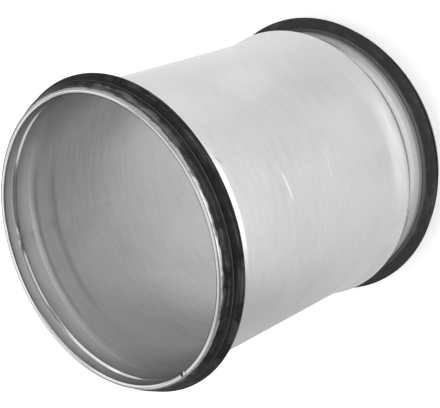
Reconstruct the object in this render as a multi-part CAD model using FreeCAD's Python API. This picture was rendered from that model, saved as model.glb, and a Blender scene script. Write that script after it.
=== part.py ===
import FreeCAD, Part
import os
from math import acos, tan

V = FreeCAD.Vector

# Driving dimensions, mm. A depth is measured inward from either end, a run along the axis
# from the feature before it, and a rise outward from the sheet that carries the feature.
overall_length = 150.0
sheet = 0.6

body_radius = 60.75          # outside of the plain body
spigot_draw = 0.7            # how far both ends are drawn in from the body
hem_rise = 1.75              # edge folded back outside the mouth
hem_depth = 2.3              # from the rim to the cut edge of the hem

ridge_depth = 6.0            # rolled ridge that keys the gasket
ridge_rise = 1.0
ridge_half_width = 1.1

# Gasket: leading slope from the hem to the small lip, groove, large fin, heel on the spigot.
lip_run = 2.6
lip_rise = 4.05
lip_edge = 0.3
groove_rise = 2.35           # floor between lip and fin
groove_width = 0.5
fin_run = 4.3                # from the lip to the fin
fin_lean = 3.2               # how far the fin leans back from the groove to its edge
fin_rise = 5.95
fin_edge = 0.4
heel_run = 2.6               # from the fin to the end of the rubber
heel_rise = 0.5

# Step from the upper spigot out to the body.
step_gap = 2.2
step_run = 3.4

# Stop bead of the lower end: steep towards the gasket, gentle towards the body.
bead_gap = 13.3
bead_front = 1.4
bead_back = 9.0
bead_rise = 2.45

# Bends of the sheet's middle line, and of the rubber.
tight_bend = 0.45
ridge_bend = 0.4
step_bend = 3.0
crest_bend = 1.0
bead_bend = 14.0
rubber_round = 0.18
fin_root = 1.0


def rounded(points, shift=0.0):
    """Edges along (radius, z, bend) points, moved sideways by shift, corners rounded."""
    flat = [V(r, 0, z) for r, z, _ in points]
    along = [(b - a).normalize() for a, b in zip(flat, flat[1:])]
    side = [V(d.z, 0, -d.x) for d in along]
    moved = [flat[0] + side[0] * shift]
    for i in range(1, len(flat) - 1):
        both = side[i - 1] + side[i]
        moved.append(flat[i] + both * (shift / (1 + side[i - 1].dot(side[i]))))
    moved.append(flat[-1] + side[-1] * shift)
    edges = []
    last = moved[0]
    for i in range(1, len(moved) - 1):
        turn = along[i - 1].z * along[i].x - along[i - 1].x * along[i].z
        bend = points[i][2]
        if bend:
            bend += -shift if turn > 0 else shift
        if bend <= 0:
            edges.append(Part.LineSegment(last, moved[i]).toShape())
            last = moved[i]
            continue
        angle = acos(max(-1.0, min(1.0, along[i - 1].dot(along[i]))))
        back = bend * tan(angle / 2)
        start = moved[i] - along[i - 1] * back
        end = moved[i] + along[i] * back
        towards = (along[i] - along[i - 1]).normalize()
        centre = moved[i] + towards * ((bend * bend + back * back) ** 0.5)
        middle = centre - towards * bend
        if (start - last).Length > 1e-6:
            edges.append(Part.LineSegment(last, start).toShape())
        edges.append(Part.Arc(start, middle, end).toShape())
        last = end
    if (moved[-1] - last).Length > 1e-6:
        edges.append(Part.LineSegment(last, moved[-1]).toShape())
    return edges


def ends(edges):
    """First and last point of a chain of edges that run on from each other."""
    return edges[0].firstVertex(True).Point, edges[-1].lastVertex(True).Point


def turned(edges):
    """Solid of revolution about Z from a closed chain of edges."""
    face = Part.Face(Part.Wire(Part.__sortEdges__(edges)))
    return face.revolve(V(0, 0, 0), V(0, 0, 1), 360)


half = sheet / 2
body_line = body_radius - half
spigot_line = body_line - spigot_draw
hem_line = spigot_line + hem_rise
fold_bend = hem_rise / 2
lip_depth = hem_depth + lip_run
fin_depth = lip_depth + fin_run
heel_depth = fin_depth + heel_run
step_depth = heel_depth + step_gap
bead_start = heel_depth + bead_gap
bead_depth = bead_start + bead_front

# Middle line of the sheet at one end, as (radius, depth, bend).
spigot = [
    (hem_line, hem_depth, 0),
    (hem_line, half, fold_bend),
    (spigot_line, half, fold_bend),
    (spigot_line, ridge_depth - ridge_half_width, tight_bend),
    (spigot_line + ridge_rise, ridge_depth, ridge_bend),
    (spigot_line, ridge_depth + ridge_half_width, tight_bend),
]
upper_end = spigot + [
    (spigot_line, step_depth, step_bend),
    (body_line, step_depth + step_run, step_bend),
]
lower_end = spigot + [
    (spigot_line, bead_start, tight_bend),
    (body_line + bead_rise, bead_depth, crest_bend),
    (body_line, bead_depth + bead_back, bead_bend),
]


def at_top(points):
    return [(r, overall_length - d, bend) for r, d, bend in points]


# Steel sleeve: one sheet, rolled, closed by a butt seam, with both edges formed and folded back.
middle_line = at_top(upper_end) + lower_end[::-1]
inside = rounded(middle_line, half)
outside = rounded(middle_line, -half)
cut_edges = [Part.LineSegment(p, q).toShape() for p, q in zip(ends(inside), ends(outside))]
sleeve = turned(inside + outside + cut_edges)

# Rubber gasket: foot filling the hem, seated on the spigot, small lip in front of the large fin.
seat_run = spigot + [(spigot_line, heel_depth, 0)]
seat_radius = spigot_line + half
lip_radius = seat_radius + lip_rise
groove_radius = seat_radius + groove_rise
fin_radius = seat_radius + fin_rise
heel_radius = seat_radius + heel_rise
rubber_run = [
    (hem_line - half, hem_depth, 0),
    (hem_line + half, hem_depth, 0),
    (lip_radius, lip_depth - lip_edge / 2, lip_edge / 4),
    (lip_radius, lip_depth + lip_edge / 2, lip_edge / 4),
    (groove_radius, lip_depth + lip_edge / 2 + groove_width, rubber_round),
    (groove_radius, fin_depth - fin_lean, rubber_round),
    (fin_radius, fin_depth - fin_edge / 2, fin_edge / 4),
    (fin_radius, fin_depth + fin_edge / 2, fin_edge / 4),
    (heel_radius, (fin_depth + heel_depth) / 2, fin_root),
    (heel_radius, heel_depth, rubber_round),
    (seat_radius, heel_depth, 0),
]
upper_gasket = turned(rounded(at_top(rubber_run)) + rounded(at_top(seat_run), -half))
lower_gasket = turned(rounded(rubber_run) + rounded(seat_run, half))

os.makedirs("parts", exist_ok=True)
sleeve.exportStep("parts/duct_sleeve.step")
upper_gasket.exportStep("parts/upper_gasket.step")
lower_gasket.exportStep("parts/lower_gasket.step")
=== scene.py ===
from math import atan2, ceil, cos, degrees, exp, hypot, pi, radians, sin, tan

import bmesh
import bpy
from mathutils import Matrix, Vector, noise


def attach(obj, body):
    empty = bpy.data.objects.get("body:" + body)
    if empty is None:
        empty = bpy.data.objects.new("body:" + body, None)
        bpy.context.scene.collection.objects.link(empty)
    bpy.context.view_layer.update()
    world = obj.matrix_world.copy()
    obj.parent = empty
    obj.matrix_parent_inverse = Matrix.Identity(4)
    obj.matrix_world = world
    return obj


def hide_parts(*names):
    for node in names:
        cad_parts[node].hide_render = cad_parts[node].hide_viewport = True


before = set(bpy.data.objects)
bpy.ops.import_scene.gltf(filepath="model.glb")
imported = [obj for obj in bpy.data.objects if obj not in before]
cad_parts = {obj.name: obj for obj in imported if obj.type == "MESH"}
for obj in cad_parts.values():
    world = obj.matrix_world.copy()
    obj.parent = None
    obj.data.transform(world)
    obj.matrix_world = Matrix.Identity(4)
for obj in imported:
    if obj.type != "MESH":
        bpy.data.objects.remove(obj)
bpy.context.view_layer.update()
scene = bpy.context.scene

# Sizes in millimetres, as in the part: a depth is measured from either end, a height from the floor.
# Meshes are in metres.
mm = 0.001
length = 150.0
sheet = 0.6
half = sheet / 2
body_line = 60.45            # middle of the sheet
spigot_line = 59.75
hem_line = 61.5
hem_depth = 2.3
hem_cut = 0.15               # from the last ring of the hem to its cut edge
fold = (hem_line - spigot_line) / 2
fold_depth = 1.2             # where the round fold of the rim ends
ridge_depth = 6.0
ridge_rise = 1.0
ridge_half_width = 1.1
step_depth, step_run = 14.0, 3.4
bead_depth, bead_front, bead_back, bead_rise = 26.5, 1.4, 9.0, 2.45
lip_radius, lip_depth, lip_edge = 64.1, 4.9, 0.3
groove_radius, groove_width = 62.4, 0.5
fin_radius, fin_depth, fin_edge, fin_lean = 66.0, 9.2, 0.4, 3.2
heel_radius, heel_depth = 60.55, 11.8
foot_depth = 0.75            # where the rubber's foot ends under the fold
seating = 0.02               # rubber lies this far off the steel
ridge_room = 0.2             # and leaves this much beside the ridge
seat = spigot_line + half + seating
foot = hem_line - half - seating

# Bends of the sheet's middle line, then of the rubber.
tight_bend, ridge_bend, step_bend, crest_bend, bead_bend = 0.45, 0.4, 3.0, 1.0, 14.0
foot_round, rubber_round, seat_round, fin_root = 0.1, 0.18, 0.4, 1.0

# Fineness of the meshes.
steps = 320                  # faces round the connector
bend_step = 11               # degrees to a face round a bend
longest_steel, longest_rubber = 5.0, 1.2
finer_cuts = 2               # more cuts beside the seam and the weld spot

# Uneven cut edge of the hem: waves to a millimetre, their shift and gain, and the deepest notch.
hem_waves, hem_shift, hem_gain, hem_notch = 0.21, 0.25, 1.4, 0.75
slack = 0.01                 # for telling the hem's faces from the others

# Butt seam of the rolled sheet: angles in degrees, heights in millimetres, dents to a metre.
seam_at, seam_fine, seam_reach, seam_spread, seam_width = 73.8, 4.0, 11.0, 4.6, 0.55
ridge_loss, seam_stand, seam_dent, seam_dents = 0.85, 0.03, 0.22, 260

# Weld spot on the upper rim, in the same units.
spot_at, spot_reach, spot_spread, spot_dent, spot_dents = -165.5, 3.6, 1.6, 0.7, 900


def bent_wire(points, longest, closed=False):
    """Wire in the XZ plane from (radius, height, bend) corners, bent round and cut short."""
    bm = bmesh.new()
    corners = [bm.verts.new(Vector((r, 0, z)) * mm) for r, z, _ in points]
    for a, b in zip(corners, corners[1:] + corners[:1] if closed else corners[1:]):
        bm.edges.new((a, b))
    places = [v.co.copy() for v in corners]
    for i in range(1, len(points) - 1):
        bend = points[i][2] * mm
        if bend:
            turn = (places[i] - places[i - 1]).angle(places[i + 1] - places[i])
            bmesh.ops.bevel(bm, geom=[corners[i]], offset=bend * tan(turn / 2), offset_type="OFFSET",
                            segments=max(2, ceil(turn / radians(bend_step))), profile=0.5,
                            affect="VERTICES", material=-1)
    for edge in list(bm.edges):
        parts = ceil(edge.calc_length() / (longest * mm))
        if parts > 1:
            bmesh.ops.subdivide_edges(bm, edges=[edge], cuts=parts - 1)
    return bm


def turn_round(bm):
    """Spins a wire into a skin of revolution."""
    bmesh.ops.spin(bm, geom=bm.verts[:] + bm.edges[:], cent=(0, 0, 0), axis=(0, 0, 1), angle=2 * pi,
                   steps=steps, use_merge=True)
    bmesh.ops.remove_doubles(bm, verts=bm.verts, dist=1e-6)
    bmesh.ops.recalc_face_normals(bm, faces=bm.faces)


def turned_from(v, at):
    """Angle in degrees from a direction round the connector to a vertex."""
    return (degrees(atan2(v.co.y, v.co.x)) - at + 180) % 360 - 180


def finer_across(bm, at, reach, cuts):
    """Cuts the faces near one direction into narrower ones."""
    near = [e for e in bm.edges if all(abs(turned_from(v, at)) < reach for v in e.verts)
            and abs(turned_from(e.verts[0], at) - turned_from(e.verts[1], at)) > 0.1]
    bmesh.ops.subdivide_edges(bm, edges=near, cuts=cuts, use_grid_fill=True)


def push_out(v, rise):
    """Moves a vertex away from the axis by rise millimetres."""
    out = Vector((v.co.x, v.co.y, 0)).normalized()
    v.co += out * (rise * mm)


def mark_sleeve(bm):
    """Uneven hem, flattened seam and weld spot, which the turned skin lacks."""
    for v in bm.verts:
        flat = hypot(v.co.x, v.co.y) / mm
        height = v.co.z / mm
        depth = min(height, length - height)
        # Cut edge of the hem, uneven where the fold was pressed down on the rubber.
        if flat > hem_line - slack and depth > fold_depth and depth < hem_depth + slack:
            to_rim = 1 if height > length / 2 else -1
            where = Vector((v.co.x / mm * hem_waves, v.co.y / mm * hem_waves, to_rim))
            around = noise.noise(where) + hem_shift
            short = hem_notch * max(0.0, min(1.0, around * hem_gain))
            v.co.z += short * (depth - fold_depth) / (hem_depth - fold_depth) * mm * to_rim
        # Butt seam: the ridges run flatter over it, and its weld stands a little inside.
        across = turned_from(v, seam_at)
        if abs(across) < seam_reach:
            over = exp(-(across / seam_spread) ** 2)
            if abs(depth - ridge_depth) < ridge_half_width and flat > spigot_line:
                push_out(v, -ridge_loss * over * (flat - spigot_line))
            weld = exp(-(across / seam_width) ** 2)
            if flat < hem_line - fold:
                dent = seam_dent * over * noise.noise(v.co * seam_dents)
                push_out(v, -seam_stand * weld - dent)
        # Weld spot on the upper rim.
        across = turned_from(v, spot_at)
        if abs(across) < spot_reach and height > length - fold_depth:
            rough = noise.noise(v.co * spot_dents) * exp(-(across / spot_spread) ** 2)
            v.co.z -= abs(rough) * spot_dent * mm


def piece(name, bm, finish, node):
    """Object at the origin that stands for a node of the part."""
    mesh = bpy.data.meshes.new(name)
    bm.to_mesh(mesh)
    bm.free()
    for face in mesh.polygons:
        face.use_smooth = True
    made = bpy.data.objects.new(name, mesh)
    scene.collection.objects.link(made)
    made.data.materials.append(finish)
    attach(made, "root")
    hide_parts(node)
    return made


def at_top(points):
    """Turns (radius, depth, bend) corners into corners of the upper end."""
    return [(r, length - d, bend) for r, d, bend in points]


# Helpers for node trees


def material(name):
    made = bpy.data.materials.new(name)
    made.use_nodes = True
    tree = made.node_tree
    tree.nodes.clear()
    out = tree.nodes.new("ShaderNodeOutputMaterial")
    skin = tree.nodes.new("ShaderNodeBsdfPrincipled")
    tree.links.new(skin.outputs[0], out.inputs[0])
    return made, tree, skin


def feed(tree, socket, value):
    if isinstance(value, bpy.types.NodeSocket):
        tree.links.new(value, socket)
    elif value is not None:
        socket.default_value = value


def sums(tree, operation, a, b=None):
    node = tree.nodes.new("ShaderNodeMath")
    node.operation = operation
    for socket, value in zip(node.inputs, (a, b)):
        feed(tree, socket, value)
    return node.outputs[0]


def times(tree, *masks):
    made = masks[0]
    for mask in masks[1:]:
        made = sums(tree, "MULTIPLY", made, mask)
    return made


def most(tree, *masks):
    made = masks[0]
    for mask in masks[1:]:
        made = sums(tree, "MAXIMUM", made, mask)
    return made


def ramp(tree, value, low, high, to_low=0.0, to_high=1.0):
    """Smooth change from to_low at low to to_high at high, level outside them."""
    node = tree.nodes.new("ShaderNodeMapRange")
    node.interpolation_type = "SMOOTHSTEP"
    for socket, v in zip(node.inputs[:5], (value, low, high, to_low, to_high)):
        feed(tree, socket, v)
    return node.outputs[0]


def fade(tree, value, low, high):
    """One up to low, falling smoothly to nothing at high."""
    return ramp(tree, value, low, high, 1.0, 0.0)


def bell(tree, value, at, width):
    """One at a place, falling smoothly to nothing at width on both sides."""
    return fade(tree, sums(tree, "ABSOLUTE", sums(tree, "SUBTRACT", value, at)), 0.0, width)


def speckle(tree, place, stretch, scale, detail=3.0, rough=0.5):
    mapping = tree.nodes.new("ShaderNodeMapping")
    feed(tree, mapping.inputs["Vector"], place)
    mapping.inputs["Scale"].default_value = stretch
    node = tree.nodes.new("ShaderNodeTexNoise")
    tree.links.new(mapping.outputs[0], node.inputs["Vector"])
    node.inputs["Scale"].default_value = scale
    node.inputs["Detail"].default_value = detail
    node.inputs["Roughness"].default_value = rough
    return node.outputs["Fac"]


def blend(tree, share, a, b):
    node = tree.nodes.new("ShaderNodeMix")
    node.data_type = "RGBA"
    feed(tree, node.inputs[0], share)
    feed(tree, node.inputs[6], a)
    feed(tree, node.inputs[7], b)
    return node.outputs[2]


def bump(tree, height, strength, distance):
    node = tree.nodes.new("ShaderNodeBump")
    node.inputs["Strength"].default_value = strength
    node.inputs["Distance"].default_value = distance * mm
    feed(tree, node.inputs["Height"], height)
    return node.outputs[0]


def grey(v):
    return (v, v, v, 1)


def group(name, inputs, outputs):
    made = bpy.data.node_groups.new(name, "ShaderNodeTree")
    for n in inputs:
        made.interface.new_socket(n, in_out="INPUT", socket_type="NodeSocketFloat")
    for n in outputs:
        kind = "NodeSocketVector" if n == "Place" else "NodeSocketFloat"
        made.interface.new_socket(n, in_out="OUTPUT", socket_type=kind)
    return made, made.nodes.new("NodeGroupInput"), made.nodes.new("NodeGroupOutput")


def use(tree, made, **values):
    node = tree.nodes.new("ShaderNodeGroup")
    node.node_tree = made
    for name, value in values.items():
        feed(tree, node.inputs[name.replace("_", " ")], value)
    return node


def place_group():
    """Where a point lies on the connector: its place, degrees round the axis, then millimetres."""
    tree, _, done = group("place on the tube", [], ["Place", "Angle", "Radius", "Height", "Depth"])
    where = tree.nodes.new("ShaderNodeTexCoord").outputs["Object"]
    split = tree.nodes.new("ShaderNodeSeparateXYZ")
    tree.links.new(where, split.inputs[0])
    x, y, z = split.outputs
    angle = sums(tree, "DEGREES", sums(tree, "ARCTAN2", y, x))
    squares = sums(tree, "ADD", sums(tree, "MULTIPLY", x, x), sums(tree, "MULTIPLY", y, y))
    radius = sums(tree, "DIVIDE", sums(tree, "SQRT", squares), mm)
    height = sums(tree, "DIVIDE", z, mm)
    depth = sums(tree, "MINIMUM", height, sums(tree, "SUBTRACT", length, height))
    for socket, value in zip(done.inputs, (where, angle, radius, height, depth)):
        feed(tree, socket, value)
    return tree


def scratch_group():
    """A thin line through one place on the wall, with a slope in millimetres to a degree."""
    asked = ["Angle", "Height", "At angle", "At height", "Half length", "Half width", "Slope"]
    tree, given, done = group("scratch", asked, ["Mask"])
    angle, height, at_angle, at_height, half_length, half_width, slope = given.outputs[:len(asked)]
    off = sums(tree, "SUBTRACT", angle, at_angle)
    along = sums(tree, "DIVIDE", sums(tree, "ABSOLUTE", off), half_length)
    lift = sums(tree, "SUBTRACT", height, at_height)
    lift = sums(tree, "SUBTRACT", lift, sums(tree, "MULTIPLY", off, slope))
    across = sums(tree, "DIVIDE", sums(tree, "ABSOLUTE", lift), half_width)
    mask = times(tree, fade(tree, along, 0.55, 1.0), fade(tree, across, 0.2, 1.0))
    feed(tree, done.inputs["Mask"], mask)
    return tree


tube_place = place_group()
scratch = scratch_group()


def scratches(tree, angle, height, table):
    marks = []
    for a, h, reach, width, slope, strength in table:
        one = use(tree, scratch, Angle=angle, Height=height, At_angle=a, At_height=h,
                  Half_length=reach, Half_width=width, Slope=slope).outputs[0]
        marks.append(sums(tree, "MULTIPLY", one, strength))
    return most(tree, *marks)


# Speckles: stretch and scale, then detail and roughness where they aren't the usual ones.
even = (1, 1, 1)
steel_streaks = ((14, 14, 110), 5.0, 4.0, 0.6)
steel_grain = ((60, 60, 700), 4.0, 2.0, 0.6)
steel_clouds = (even, 26.0, 3.0, 0.55)
sheet_waves = ((1, 1, 0.6), 24.0, 1.0, 0.4)
sheet_dents = (even, 170.0, 1.0)
weld_pits = (even, 620.0, 1.0)
shade_ring_breaks = ((1, 1, 0.2), 30.0)
hem_rags = (even, 260.0)
rubber_streaks = ((12, 12, 300), 5.0, 4.0, 0.65)
rubber_blots = (even, 150.0, 3.0, 0.6)
rubber_patches = (even, 34.0, 2.0, 0.5)
smudge_rags = (even, 120.0)
spread = (0.3, 0.7)          # most values of a speckle lie between these

# Scratches in the zinc: angle, height, half length in degrees, half width and slope, then strength.
bright_scratches = [
    (-96.4, 103.2, 6.6, 0.34, 0.132, 1.0),
    (-94.5, 75.7, 7.0, 0.30, -0.076, 0.55),
    (-90.0, 114.0, 2.6, 0.30, 0.10, 0.45),
    (-52.0, 112.0, 2.2, 0.25, 0.12, 0.4),
    (-128.0, 96.0, 2.0, 0.25, 0.05, 0.25),
]
dark_scratches = [
    (-78.9, 132.4, 1.8, 0.28, 0.42, 0.9),
    (-168.0, 34.7, 4.0, 0.35, 0.02, 0.5),
    (-66.0, 137.0, 1.2, 0.25, 0.3, 0.5),
]

# Painted shade in dark rings inside, one below the step and one at a soft bend lower down: height, half
# width and strength, and where round the tube.
shade_rings = [(132.4, 2.4, 1.0), (122.0, 2.8, 0.8)]
shade_rings_at, shade_rings_reach = 78.0, 75.0

# Ranges of radius that tell the skins of the sleeve apart.
inner_radii, drawn_in_radii = (60.3, 60.6), (59.9, 60.3)
outer_radii, hem_radii = (59.7, 59.9), (61.2, 61.7)

# Reach of the marks round the tube, in degrees to each side.
seam_line, spot_patch, dent_patch = 0.5, 1.5, 8.0

# Ranges of height over which a finish, painted light or painted shade comes or goes, then of depth.
upper_painted_light, lower_painted_light = (135.0, 137.0), (25.5, 27.0)
upper_satin, lower_satin = (134.5, 138.5), (26.8, 29.0)
step_highlight_at, step_highlight_width = 136.2, 1.0
spot_heights, dent_heights = (147.4, 148.2), (114.0, 124.0)
bead_shade_heights, heel_shade_heights, shade_end = (20.6, 22.4), (13.4, 15.0), (25.2, 25.5)
film_heights = (18.0, 21.0)
hem_end, smear_depths = (2.6, 2.7), (0.9, 2.1)
seam_depths, seam_shares = (14.0, 34.0), (0.16, 0.03)

# Greys of the steel: plain, streaked and clouded sheet outside, and a lighter copy inside as painted light;
# then its marks, some of them painted light and painted shade.
outside_greys, painted_light_inside_greys = (0.585, 0.635, 0.69), (0.64, 0.74, 0.79)
grain_grey, painted_light_end_grey, bright_grey, ring_shade_grey, seam_grey = 0.52, 0.80, 0.95, 0.30, 0.42
dark_grey, hem_shade_grey, smear_grey, painted_shade_grey = 0.12, 0.30, 0.10, 0.16

# How strongly some of those marks cover the sheet.
step_highlight_share, ring_shade_share, hem_shade_share, smear_share = 0.7, 0.6, 0.5, 0.8
cloud_share, grain_share, pit_share, bead_shade_share, heel_shade_share = 0.8, 0.16, 0.85, 0.8, 0.6

# Roughness of the steel: the body, the upper end and the lower end, then what marks add.
satin_rough, upper_rough, lower_rough = 0.33, 0.17, 0.19
streak_rough, hem_rough, scratch_rough = 0.02, 0.3, 0.2
film_metal = 0.4             # metallic share under the film on the lower spigot
dent_height, pit_height = 0.4, 1.6


def toned(tree, bands, clouds, greys):
    """Sheet with lighter streaks, and clouds that are lighter still."""
    plain, streaked, clouded = (grey(v) for v in greys)
    return blend(tree, clouds, blend(tree, bands, plain, streaked), clouded)


def zinc_coated_sheet():
    """Satin zinc-coated steel: streaks round the tube, soft clouds, scratches, smoother ends, and painted
    light, highlights and shade in its colour.
    """
    made, tree, skin = material("zinc-coated sheet")
    place, angle, radius, height, depth = use(tree, tube_place).outputs
    streak = speckle(tree, place, *steel_streaks)
    fine = speckle(tree, place, *steel_grain)
    cloud = speckle(tree, place, *steel_clouds)
    inside = fade(tree, radius, *inner_radii)

    # Plain sheet, a lighter copy of it inside as painted light, and painted light on the ends where they
    # are drawn in.
    bands, clouds = ramp(tree, streak, *spread), ramp(tree, cloud, 0.35, 0.72, 0.0, cloud_share)
    shade = blend(tree, inside, toned(tree, bands, clouds, outside_greys),
                  toned(tree, bands, clouds, painted_light_inside_greys))
    shade = blend(tree, ramp(tree, fine, 0.35, 0.7, 0.0, grain_share), shade, grey(grain_grey))
    ends = most(tree, ramp(tree, height, *upper_painted_light), fade(tree, height, *lower_painted_light))
    painted_light_ends = times(tree, fade(tree, radius, *drawn_in_radii), ends)
    shade = blend(tree, painted_light_ends, shade, grey(painted_light_end_grey))
    # Painted highlight: a bright line inside at the step.
    line = times(tree, bell(tree, height, step_highlight_at, step_highlight_width), inside, step_highlight_share)
    shade = blend(tree, line, shade, grey(bright_grey))

    # Painted shade in dark rings inside, then the seam and the scratches.
    lines = [times(tree, bell(tree, height, at, width), share) for at, width, share in shade_rings]
    broken = ramp(tree, speckle(tree, place, *shade_ring_breaks), 0.35, 0.6)
    painted_ring_shade = times(tree, most(tree, *lines), inside, broken, bell(tree, angle, shade_rings_at, shade_rings_reach))
    shade = blend(tree, times(tree, painted_ring_shade, ring_shade_share), shade, grey(ring_shade_grey))
    seam = times(tree, bell(tree, angle, seam_at, seam_line), ramp(tree, depth, *seam_depths, *seam_shares))
    shade = blend(tree, seam, shade, grey(seam_grey))
    bright = scratches(tree, angle, height, bright_scratches)
    shade = blend(tree, bright, shade, grey(bright_grey))
    dark = scratches(tree, angle, height, dark_scratches)
    shade = blend(tree, dark, shade, grey(dark_grey))

    # Pitted weld spot; the hem darkened as painted shade, and smeared towards its cut edge.
    weld = times(tree, bell(tree, angle, spot_at, spot_patch), ramp(tree, height, *spot_heights))
    pits = speckle(tree, place, *weld_pits)
    pitted = times(tree, weld, ramp(tree, pits, 0.45, 0.6, 0.0, pit_share))
    shade = blend(tree, pitted, shade, grey(dark_grey))
    hem = times(tree, ramp(tree, radius, *hem_radii), fade(tree, depth, *hem_end))
    shade = blend(tree, times(tree, hem, hem_shade_share), shade, grey(hem_shade_grey))
    ragged = ramp(tree, speckle(tree, place, *hem_rags), *spread, -0.9, 0.9)
    smear = times(tree, ramp(tree, sums(tree, "ADD", depth, ragged), *smear_depths), hem)
    shade = blend(tree, times(tree, smear, smear_share), shade, grey(smear_grey))

    # Painted shade under the stop bead where the lower spigot meets it, and painted shade with a painted
    # reflection of the fin where the spigot meets the rubber.
    painted_shade = most(tree, ramp(tree, height, *bead_shade_heights, 0.0, bead_shade_share),
                 ramp(tree, height, *heel_shade_heights, heel_shade_share, 0.0))
    painted_shade = times(tree, painted_shade, ramp(tree, radius, *outer_radii), fade(tree, height, *shade_end))
    shade = blend(tree, painted_shade, shade, grey(painted_shade_grey))
    feed(tree, skin.inputs["Base Color"], shade)

    # Dull film on the lower spigot, smoother ends, and soft waves and dents in the sheet.
    feed(tree, skin.inputs["Metallic"], ramp(tree, height, *film_heights, film_metal, 1.0))
    worn = sums(tree, "MINIMUM", ramp(tree, height, *upper_satin, satin_rough, upper_rough),
                ramp(tree, height, *lower_satin, lower_rough, satin_rough))
    rough = sums(tree, "ADD", worn, ramp(tree, streak, 0.25, 0.75, -streak_rough, streak_rough))
    rough = sums(tree, "ADD", rough, times(tree, hem, hem_rough))
    feed(tree, skin.inputs["Roughness"], sums(tree, "ADD", rough, times(tree, bright, scratch_rough)))
    wave = speckle(tree, place, *sheet_waves)
    dents = times(tree, speckle(tree, place, *sheet_dents), bell(tree, angle, seam_at, dent_patch),
                  ramp(tree, height, *dent_heights), dent_height)
    dents = sums(tree, "ADD", dents, times(tree, pits, weld, pit_height))
    feed(tree, skin.inputs["Normal"], bump(tree, sums(tree, "ADD", wave, dents), 1.0, 1.0))
    return made


# Ranges of depth or radius over which a mark of the rubber comes or goes.
front_depths, flank_depths, smudge_depths = (2.8, 4.6), (6.2, 8.2), (2.6, 4.0)
lip_radii, heel_radii = (63.6, 64.0), (60.8, 61.6)
behind_fin = (fin_depth, fin_depth + 0.3)
lip_highlight_width = 0.35              # to each side of the lip's edge
smudge_at, smudge_reach = -30.0, 85.0

# How strongly they cover it.
lip_highlight_share, flank_share, smudge_share = 0.35, 0.42, 0.6

# Greys of the rubber: clean and blotted, lighter on the heel and the fin's back as painted light, of dust
# and of the painted highlight on the lip's edge, and of smudges; its sheen.
clean_grey, blot_grey, painted_light_heel_grey, painted_light_back_grey = 0.010, 0.022, 0.10, 0.045
dust_and_highlight_grey, smudge_grey = 0.20, 0.30
rubber_rough, rubber_gloss = (0.42, 0.62), 0.18


def scuffed_rubber():
    """Matt black rubber, dusty and scuffed along the folded edge and on the lips, with painted light behind
    the fin and a painted highlight on the small lip's edge.
    """
    made, tree, skin = material("scuffed rubber")
    place, angle, radius, _, depth = use(tree, tube_place).outputs
    streak = speckle(tree, place, *rubber_streaks)
    blot = speckle(tree, place, *rubber_blots)
    patch = speckle(tree, place, *rubber_patches)

    # Base, greyer behind the fin as painted light.
    shade = blend(tree, ramp(tree, blot, *spread), grey(clean_grey), grey(blot_grey))
    back = blend(tree, ramp(tree, radius, *heel_radii), grey(painted_light_heel_grey), grey(painted_light_back_grey))
    shade = blend(tree, ramp(tree, depth, *behind_fin), shade, back)

    # Dust in the scuffs of the slope and the fin, and a painted highlight along the lip's edge.
    scuff = times(tree, ramp(tree, streak, 0.42, 0.7), ramp(tree, blot, 0.35, 0.65))
    front = times(tree, fade(tree, depth, *front_depths), ramp(tree, patch, 0.3, 0.65, 0.3, 1.0))
    edge = times(tree, bell(tree, depth, lip_depth, lip_highlight_width), ramp(tree, radius, *lip_radii), lip_highlight_share)
    flank = times(tree, ramp(tree, depth, *flank_depths), flank_share)
    dust_and_highlight = most(tree, times(tree, scuff, most(tree, front, flank)), edge)
    shade = blend(tree, dust_and_highlight, shade, grey(dust_and_highlight_grey))

    # Smudges beside the hem, on one side.
    ragged = ramp(tree, speckle(tree, place, *smudge_rags), *spread, -0.8, 0.8)
    smudge = times(tree, fade(tree, sums(tree, "ADD", depth, ragged), *smudge_depths),
                   ramp(tree, patch, 0.35, 0.6, 0.2, 1.0), bell(tree, angle, smudge_at, smudge_reach),
                   ramp(tree, streak, 0.35, 0.62, 0.15, 1.0))
    shade = blend(tree, times(tree, smudge, smudge_share), shade, grey(smudge_grey))
    feed(tree, skin.inputs["Base Color"], shade)
    feed(tree, skin.inputs["Roughness"], ramp(tree, streak, *spread, *rubber_rough))
    skin.inputs["Specular IOR Level"].default_value = rubber_gloss
    feed(tree, skin.inputs["Normal"], bump(tree, streak, 0.3, 0.2))
    return made


# Sleeve: one sheet with both ends drawn in, ridged and folded back outside.
# A small step leads to the body at the top, and a stop bead at the bottom.
spigot = [
    (hem_line, hem_depth, 0),
    (hem_line, hem_depth - hem_cut, 0),
    (hem_line, half, fold),
    (spigot_line, half, fold),
    (spigot_line, ridge_depth - ridge_half_width, tight_bend),
    (spigot_line + ridge_rise, ridge_depth, ridge_bend),
    (spigot_line, ridge_depth + ridge_half_width, tight_bend),
]
upper_end = spigot + [
    (spigot_line, step_depth, step_bend),
    (body_line, step_depth + step_run, step_bend),
]
lower_end = spigot + [
    (spigot_line, bead_depth - bead_front, tight_bend),
    (body_line + bead_rise, bead_depth, crest_bend),
    (body_line, bead_depth + bead_back, bead_bend),
]
bm = bent_wire(at_top(upper_end) + lower_end[::-1], longest_steel)
turn_round(bm)
finer_across(bm, seam_at, seam_fine, finer_cuts)
finer_across(bm, spot_at, spot_reach, finer_cuts)
mark_sleeve(bm)
sleeve = piece("sleeve", bm, zinc_coated_sheet(), "duct_sleeve")
wall = sleeve.modifiers.new("sheet", "SOLIDIFY")
wall.thickness = sheet * mm
wall.offset = 0
wall.use_even_offset = True

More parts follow.
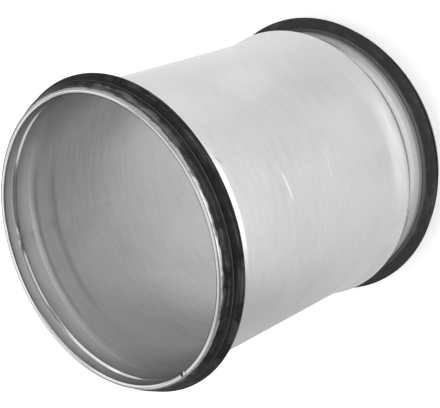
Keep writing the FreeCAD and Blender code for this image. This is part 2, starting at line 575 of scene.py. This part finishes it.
# Gaskets: foot in the hem, small lip, groove, large fin, heel on the spigot, seat over the ridge.
rubber_run = [
    (foot, hem_depth, 0),
    (hem_line + half, hem_depth, foot_round),
    (lip_radius, lip_depth - lip_edge / 2, lip_edge / 4),
    (lip_radius, lip_depth + lip_edge / 2, lip_edge / 4),
    (groove_radius, lip_depth + lip_edge / 2 + groove_width, rubber_round),
    (groove_radius, fin_depth - fin_lean, rubber_round),
    (fin_radius, fin_depth - fin_edge / 2, fin_edge / 4),
    (fin_radius, fin_depth + fin_edge / 2, fin_edge / 4),
    (heel_radius, (fin_depth + heel_depth) / 2, fin_root),
    (heel_radius, heel_depth, rubber_round),
    (seat, heel_depth, 0),
    (seat, ridge_depth + ridge_half_width + ridge_room, seat_round),
    (seat + ridge_rise, ridge_depth, seat_round),
    (seat, ridge_depth - ridge_half_width - ridge_room, seat_round),
    (seat, foot_depth, seat_round),
    (foot, foot_depth, 0),
]
rubber = scuffed_rubber()
rings = [("upper_ring", at_top(rubber_run), "upper_gasket"), ("lower_ring", rubber_run, "lower_gasket")]
for name, run, node in rings:
    bm = bent_wire(run, longest_rubber, closed=True)
    turn_round(bm)
    piece(name, bm, rubber, node)

# Floor, light and camera. Strengths are given for what the camera sees and for what the steel mirrors.
floor_half_size = 6.0        # metres
floor_grey, floor_glow, mirrored_floor = 0.86, 0.62, 0.395
beside_connector = (62.0, 72.0)

# The mirrored floor is dimmer on one side and brighter on the other, which rounds the body.
dim_side, dim_from, dim_until, dim_by = 140.0, (30.0, 140.0), (260.0, 500.0), 0.34
lit_side, lit_from, lit_radii, lit_by = 40.0, (0.0, 70.0), (110.0, 190.0), (0.15, 0.08)

# The mirrored sky brightens with the sine of the elevation.
sky_low, sky_rise, mirrored_sky = 0.1, (0.15, 0.75), (0.08, 0.2)

# Soft boxes: azimuth and elevation in degrees, distance and size in metres, watts.
soft_boxes = {
    "side": (-22.0, 28.0, 1.2, (1.5, 0.6), 2.5),
    "other_side": (150.0, 34.0, 1.2, (1.3, 0.9), 2.4),
    "far_side": (36.0, 36.0, 1.2, (1.0, 0.9), 2.0),
    "overhead": (135.0, 87.0, 1.4, (1.6, 1.6), 6.6),
    "back": (90.0, 45.0, 1.2, (1.4, 0.8), 2.0),
    "fill": (-90.0, 58.0, 1.4, (1.2, 0.7), 1.5),
    "front": (-102.0, -1.5, 0.75, (0.9, 0.08), 3.9),
}

# The camera, fitted to the outlines in the photograph: metres, then degrees.
camera_lens, camera_sensor = 98.233, 36.0
camera_place = (-0.003515, -0.369378, 0.447365)
camera_turn = (-20.9893, 41.0462, -120.295)


def reach(tree, place, azimuth):
    """Millimetres from the axis in one direction."""
    node = tree.nodes.new("ShaderNodeVectorMath")
    node.operation = "DOT_PRODUCT"
    feed(tree, node.inputs[0], place)
    node.inputs[1].default_value = (cos(radians(azimuth)) / mm, sin(radians(azimuth)) / mm, 0)
    return node.outputs["Value"]


def seen_and_mirrored(tree):
    """Masks of the rays from the camera, and of those that a surface mirrors or passes on."""
    path = tree.nodes.new("ShaderNodeLightPath")
    mirrored = most(tree, path.outputs["Is Glossy Ray"], path.outputs["Is Transmission Ray"])
    return path.outputs["Is Camera Ray"], mirrored


def floor_paint():
    """Pale floor that reads white to the camera and pale in the steel, and keeps the shadow."""
    made = bpy.data.materials.new("pale floor")
    made.use_nodes = True
    tree = made.node_tree
    tree.nodes.clear()
    out = tree.nodes.new("ShaderNodeOutputMaterial")
    matt = tree.nodes.new("ShaderNodeBsdfDiffuse")
    matt.inputs["Color"].default_value = grey(floor_grey)
    glow = tree.nodes.new("ShaderNodeEmission")
    glow.inputs["Color"].default_value = grey(1.0)
    seen, mirrored = seen_and_mirrored(tree)
    place, _, radius, _, _ = use(tree, tube_place).outputs
    clear = ramp(tree, radius, *beside_connector)
    off = reach(tree, place, dim_side)
    dim = times(tree, ramp(tree, off, *dim_from), fade(tree, off, *dim_until), clear, dim_by)
    lit = times(tree, ramp(tree, reach(tree, place, lit_side), *lit_from), clear,
                ramp(tree, radius, *lit_radii, *lit_by))
    mirrored_glow = sums(tree, "SUBTRACT", sums(tree, "ADD", lit, mirrored_floor), dim)
    feed(tree, glow.inputs["Strength"],
         most(tree, times(tree, seen, floor_glow), times(tree, mirrored, mirrored_glow)))
    both = tree.nodes.new("ShaderNodeAddShader")
    tree.links.new(matt.outputs[0], both.inputs[0])
    tree.links.new(glow.outputs[0], both.inputs[1])
    tree.links.new(both.outputs[0], out.inputs[0])
    return made


def softbox(name, azimuth, elevation, distance, size, power):
    """Area lamp that looks at the middle of the connector from a direction in degrees."""
    aim = Vector((0, 0, length / 2 * mm))
    a, e = radians(azimuth), radians(elevation)
    away = Vector((cos(a) * cos(e), sin(a) * cos(e), sin(e)))
    lamp = bpy.data.lights.new(name, "AREA")
    lamp.shape = "RECTANGLE"
    lamp.size, lamp.size_y = size
    lamp.energy = power
    made = bpy.data.objects.new(name, lamp)
    made.location = aim + away * distance
    made.rotation_euler = (-away).to_track_quat("-Z", "Y").to_euler()
    scene.collection.objects.link(made)


bm = bmesh.new()
bmesh.ops.create_grid(bm, x_segments=1, y_segments=1, size=floor_half_size)
mesh = bpy.data.meshes.new("floor")
bm.to_mesh(mesh)
bm.free()
floor = bpy.data.objects.new("floor", mesh)
floor.data.materials.append(floor_paint())
scene.collection.objects.link(floor)

world = bpy.data.worlds.new("studio")
scene.world = world
world.use_nodes = True
sky = world.node_tree
sky_light = sky.nodes["Background"]
sky_light.inputs["Color"].default_value = grey(1.0)
towards = sky.nodes.new("ShaderNodeTexCoord")
rise = sky.nodes.new("ShaderNodeSeparateXYZ")
sky.links.new(towards.outputs["Generated"], rise.inputs[0])
seen, mirrored = seen_and_mirrored(sky)
overhead_glow = ramp(sky, rise.outputs["Z"], *sky_rise, *mirrored_sky)
feed(sky, sky_light.inputs["Strength"], most(sky, seen, times(sky, mirrored, overhead_glow), sky_low))

for name, values in soft_boxes.items():
    softbox(name, *values)

eye = bpy.data.cameras.new("camera")
eye.lens = camera_lens
eye.sensor_width = camera_sensor
eye.sensor_fit = "HORIZONTAL"
camera = bpy.data.objects.new("camera", eye)
camera.location = camera_place
camera.rotation_euler = [radians(v) for v in camera_turn]
scene.collection.objects.link(camera)
scene.camera = camera
scene.view_settings.view_transform = "Standard"
